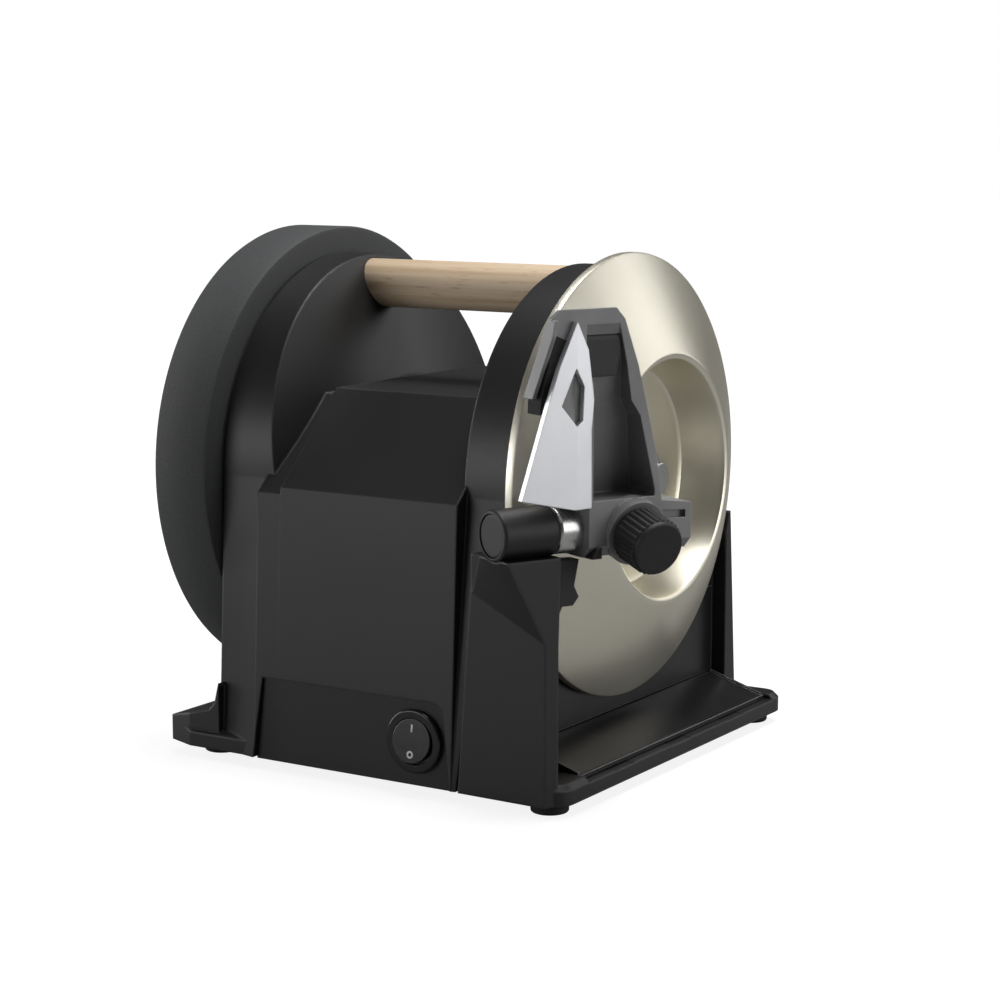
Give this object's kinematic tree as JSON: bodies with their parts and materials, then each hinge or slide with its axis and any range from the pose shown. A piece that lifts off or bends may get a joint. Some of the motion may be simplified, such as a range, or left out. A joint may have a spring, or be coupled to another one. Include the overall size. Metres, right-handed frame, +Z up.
{
  "type": "electric knife sharpener",
  "caption": "Bench-top electric knife sharpener: conical grinding disc and honing wheel on one shaft, wooden carrying handle, tilting knife guide with lock knob.",
  "frame": {"origin": "centre of the bounding box's footprint, on the floor under the feet", "axes": "+Z up; +X along the wheel shaft from the honing wheel towards the grinding disc; -Y towards the user, the side with the switch"},
  "size_m": [0.215, 0.206, 0.2026],
  "materials": {
    "housing_plastic": "fine satin grain, anthracite",
    "black_plastic": "satin black moulding",
    "rubber": "matte black rubber",
    "steel": "bright turned steel",
    "zinc_steel": "zinc plated screws",
    "dark_steel": "satin black painted sheet steel",
    "disc_metal": "fine diamond grit on steel, warm silver",
    "honing_composite": "matte dark grey composite",
    "cast_metal": "satin zinc casting, mid grey",
    "satin_plate": "satin blasted steel plate",
    "bronze": "sintered bronze",
    "gear_plastic": "natural acetal",
    "copper": "enamelled copper windings",
    "laminations": "stacked steel laminations",
    "wood": "oiled beech, straight grain",
    "rocker_plastic": "gloss black",
    "magnet": "nickel-dark ferrite"
  },
  "bodies": {
    "housing": {"housing": "housing_plastic", "bottom_cover": "black_plastic", "cover_screws": "zinc_steel", "rubber_feet": "rubber", "shaft_bearings": "bronze", "idler_bushes": "bronze", "gear_plate": "zinc_steel", "gear_plate_screws": "zinc_steel", "motor_stator": "laminations", "motor_coils": "copper", "motor_brackets": "zinc_steel", "motor_bolts": "zinc_steel", "motor_spacers": "zinc_steel", "motor_bushes": "bronze", "run_capacitor": "black_plastic", "capacitor_saddle": "gear_plastic", "terminal_block": "gear_plastic", "cord_gland": "black_plastic", "handle_dowel": "wood", "handle_bolts": "steel", "switch_panel": "black_plastic", "switch_bezel": "black_plastic", "switch_pin": "steel", "splash_plate": "dark_steel", "hinge_barrel": "black_plastic", "barrel_plug": "black_plastic", "barrel_screw": "zinc_steel", "angle_bracket": "black_plastic"},
    "wheels": {"wheel_shaft": "steel", "shaft_circlips": "zinc_steel", "grinding_disc": "disc_metal", "disc_washer": "steel", "disc_nut": "steel", "honing_wheel": "honing_composite", "honing_hub": "black_plastic", "honing_nut": "steel", "honing_collar": "steel", "wheel_gear": "gear_plastic"},
    "idler": {"idler_gear": "gear_plastic", "idler_shaft": "steel"},
    "rotor": {"motor_rotor": "laminations", "motor_shaft": "steel", "motor_pinion": "steel", "motor_fan": "gear_plastic"},
    "guide": {"guide_frame": "cast_metal", "guide_plate": "satin_plate", "guide_screws": "zinc_steel", "guide_cushion": "rubber", "clamp_block": "black_plastic", "guide_pointer": "black_plastic", "hinge_pin": "steel", "hinge_bush": "steel"},
    "knob": {"lock_knob": "black_plastic", "knob_stud": "steel"},
    "switch": {"switch_rocker": "rocker_plastic"},
    "tray": {"scrap_tray": "dark_steel", "tray_magnets": "magnet"}
  },
  "joints": [
    {"name": "wheel_spin", "type": "hinge", "parent": "housing", "child": "wheels", "pos_m": [0.05297, 0.00366, 0.111], "axis": [1, 0, 0], "continuous": true},
    {"name": "idler_spin", "type": "hinge", "parent": "housing", "child": "idler", "pos_m": [0.05297, 0.00366, 0.08], "axis": [1, 0, 0], "continuous": true},
    {"name": "rotor_spin", "type": "hinge", "parent": "housing", "child": "rotor", "pos_m": [0.05297, 0.00366, 0.0564], "axis": [1, 0, 0], "continuous": true},
    {"name": "guide_tilt", "type": "hinge", "parent": "housing", "child": "guide", "pos_m": [0.06594, -0.0786, 0.1025], "axis": [0.4337, 0.901, 0], "range_deg": [-7, 7]},
    {"name": "knob_turn", "type": "hinge", "parent": "guide", "child": "knob", "pos_m": [0.08775, -0.05636, 0.1015], "axis": [0.8703, -0.419, -0.2588], "range_deg": [0, 180]},
    {"name": "switch_rock", "type": "hinge", "parent": "housing", "child": "switch", "pos_m": [0.01397, -0.08464, 0.0207], "axis": [1, 0, 0], "range_deg": [0, 16]},
    {"name": "tray_slide", "type": "slide", "parent": "housing", "child": "tray", "axis": [1, 0, 0], "range_m": [0, 0.05]}
  ],
  "couplings": [
    {"joint": "idler_spin", "follows": "wheel_spin", "ratio": -4.1667},
    {"joint": "rotor_spin", "follows": "wheel_spin", "ratio": 18.182}
  ]
}
